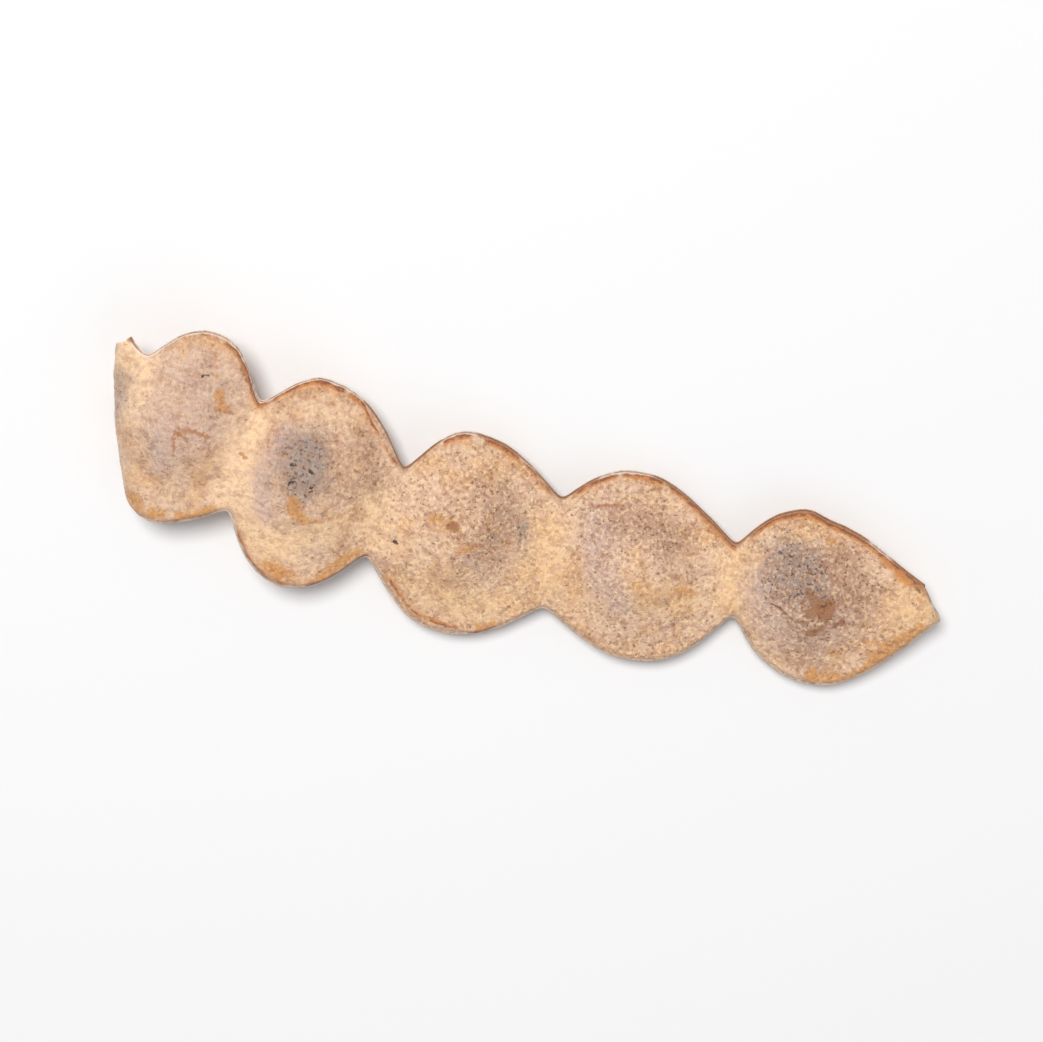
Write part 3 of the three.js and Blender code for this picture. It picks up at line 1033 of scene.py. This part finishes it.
def colour_marks(tree, skin, patchy, threads, fields):
    """The skin with its rubs, cracks and spots over it. The marks are kept in the fields."""
    ochre = broken(tree, "ochre", patchy)
    ochre_tone = blend(tree, fade(tree, patchy, *FADES["dark_ochre"]), OCHRE, DARK_OCHRE)
    skin = cover(tree, skin, ochre_tone, ochre, weigh(tree, *MIXED_COVER["ochre"], fields))
    for name in ("scratch", "brown", "black"):
        fields[name] = broken(tree, name, threads)
    skin = cover(tree, skin, DARK_OCHRE, fields["scratch"], COVER["scratch"])
    rubbed = fade(tree, patchy, *FADES["deep_brown"])
    skin = blend(tree, fields["brown"], skin, blend(tree, rubbed, RUBBED_BROWN, DEEP_BROWN))
    return cover(tree, skin, NEAR_BLACK, fields["black"], COVER["black"])


def colour_edge(tree, skin, place, patchy, fields):
    """The skin with its lip, the dark seam in the lip, and the worn line inside it, which is brown
    outside and orange inside. The line is kept in the fields."""
    edge_way = ragged(tree, "edge_way", place)
    worn = fade(tree, ragged(tree, "wear", place), *FADES["wear"])
    line_way = calculate(tree, "SUBTRACT", edge_way, attribute(tree, "inset"))
    glow = calculate(tree, "MULTIPLY", between(tree, line_way, *BANDS["glow"]), worn)
    fields["worn_deep"] = fade(tree, attribute(tree, "wear"), *FADES["worn_deep"])
    skin = cover(tree, skin, LINE_ORANGE, glow, weigh(tree, *MIXED_COVER["glow"], fields))

    pale_lip = fade(tree, ragged(tree, "pale_lip", place), *FADES["pale_lip"])
    lip_tone = blend(tree, pale_lip, BROWN_LIP, PALE_LIP)
    skin = cover(tree, skin, lip_tone, between(tree, edge_way, *BANDS["lip"]), COVER["lip"])

    fields["line"] = calculate(tree, "MULTIPLY", between(tree, line_way, *BANDS["line"]), worn)
    outer = shaken(tree, line_way, patchy, LINE_BREAKUP)
    line_tone = blend(tree, fade(tree, outer, *FADES["line_brown"]), LINE_ORANGE, LINE_BROWN)
    skin = cover(tree, skin, line_tone, fields["line"], COVER["line"])
    return cover(tree, skin, DEEP_BROWN, between(tree, edge_way, *BANDS["seam"]), COVER["seam"])


def colour_torn_end(tree, skin, place):
    """The skin with the bare fibres of the torn edge over it."""
    torn = fade(tree, ragged(tree, "torn", place), *FADES["torn"])
    flat_place = attribute(tree, "flat_place", "Vector")
    fibres = cloud(tree, vector(tree, "MULTIPLY", flat_place, FIBRE_STRETCH), *NOISES["fibres"])
    fibre_tone = blend(tree, fade(tree, fibres, *FADES["straw_gaps"]), STRAW, RUBBED_BROWN)
    return blend(tree, torn, skin, fibre_tone)


def make_pod_skin():
    """Dry velvety felt: tan, creamier at the necks and greyer over the seeds, with pits, rubs,
    cracks and a worn orange-brown line along the edge."""
    material = bpy.data.materials.new("pod_skin")
    material.use_nodes = True
    tree = material.node_tree
    shader = tree.nodes["Principled BSDF"]
    place = vector(tree, "SCALE", add_node(tree, "TexCoord", {}).outputs["Object"], Scale=1 / MM)
    patchy = cloud(tree, place, *NOISES["patchy"])
    threads = cloud(tree, place, *NOISES["threads"])

    fields = {"smooth": attribute(tree, "smooth")}
    skin = colour_zones(tree, place, patchy, fields)
    busy_deep = calculate(tree, "MULTIPLY", fields["deep"], BUSY_DEEP)
    fields["busy"] = calculate(tree, "MAXIMUM", fields["grey"], busy_deep)
    given = {"Place": place, "Crowd": weigh(tree, 0.0, CROWD, fields)}
    felt = add_node(tree, "Group", given, node_tree=felt_group()).outputs
    fields["pale"] = felt["Pale"]
    skin = colour_grain(tree, skin, felt, fields)
    skin = colour_marks(tree, skin, patchy, threads, fields)
    skin = colour_edge(tree, skin, place, patchy, fields)
    skin = colour_torn_end(tree, skin, place)

    height = weigh(tree, felt["Height"], MARK_HEIGHTS, fields)
    bump = add_node(tree, "Bump", {"Height": height, "Distance": MM, "Strength": 1.0})
    rubbed = calculate(tree, "MAXIMUM", fields["brown"], fields["line"])
    roughness = calculate(tree, "MULTIPLY_ADD", rubbed, ROUGHNESS["rubbed"], ROUGHNESS["felt"])
    set_inputs(tree, shader, {
        "Base Color": skin,
        "Roughness": roughness,
        "Normal": bump.outputs["Normal"],
        "Specular IOR Level": 0.3,
        "Sheen Weight": 0.2,
        "Sheen Roughness": 0.6,
    })
    return material


# -------- table, light and camera

def add_table():
    """A pale table under the pod, wide enough to fill the picture."""
    bpy.ops.object.select_all(action="DESELECT")
    bpy.ops.mesh.primitive_plane_add(size=3)
    table = bpy.context.object
    table.name = "table"
    paper = bpy.data.materials.new("table_paper")
    paper.use_nodes = True
    shader = paper.node_tree.nodes["Principled BSDF"]
    pale = {"Base Color": (0.86, 0.865, 0.88, 1), "Roughness": 0.9}
    set_inputs(paper.node_tree, shader, pale)
    table.data.materials.append(paper)


def add_softbox(name, place, size, power, tint):
    """A round soft light that points at the pod."""
    bpy.ops.object.light_add(type="AREA", location=place)
    lamp = bpy.context.object
    lamp.name = name
    lamp.data.shape = "DISK"
    lamp.data.size = size
    lamp.data.energy = power
    lamp.data.color = tint
    lamp.rotation_euler = (-Vector(place)).to_track_quat("-Z", "Y").to_euler()


def add_light():
    """A soft key light from beyond the pod's upper edge, a weak fill and an even white sky."""
    add_softbox("key_light", (-0.10, 0.16, 0.44), size=0.18, power=1.86, tint=(1, 0.99, 0.97))
    add_softbox("fill_light", (0.30, -0.25, 0.35), size=0.50, power=0.3, tint=(0.97, 0.98, 1))
    world = bpy.data.worlds.new("studio")
    world.use_nodes = True
    sky = world.node_tree.nodes["Background"]
    set_inputs(world.node_tree, sky, {"Color": (1, 1, 1, 1), "Strength": 0.34})
    bpy.context.scene.world = world
    bpy.context.scene.view_settings.view_transform = "Standard"


def add_camera():
    """Looks almost straight down, from a little beyond the pod's upper edge, with the pod running
    down from left to right."""
    slope, tilt = math.radians(11.2), math.radians(12)
    frame_width = 0.074
    picture_up = Vector((-math.sin(slope), math.cos(slope), 0))
    back = (Vector((0, 0, 1)) * math.cos(tilt) + picture_up * math.sin(tilt)).normalized()
    right = picture_up.cross(back).normalized()
    up = back.cross(right)
    data = bpy.data.cameras.new("camera")
    data.lens = 100
    data.clip_start = 0.01
    camera = bpy.data.objects.new("camera", data)
    bpy.context.collection.objects.link(camera)
    distance = frame_width / data.sensor_width * data.lens
    target = Vector((0, 0, 0.003))
    turn = Matrix((right, up, back)).transposed().to_4x4()
    camera.matrix_world = Matrix.Translation(target + back * distance) @ turn
    bpy.context.scene.camera = camera


add_camera()
add_light()
add_table()
pod = make_pod()
pod.data.materials.append(make_pod_skin())
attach(pod, "root")
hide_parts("pod")
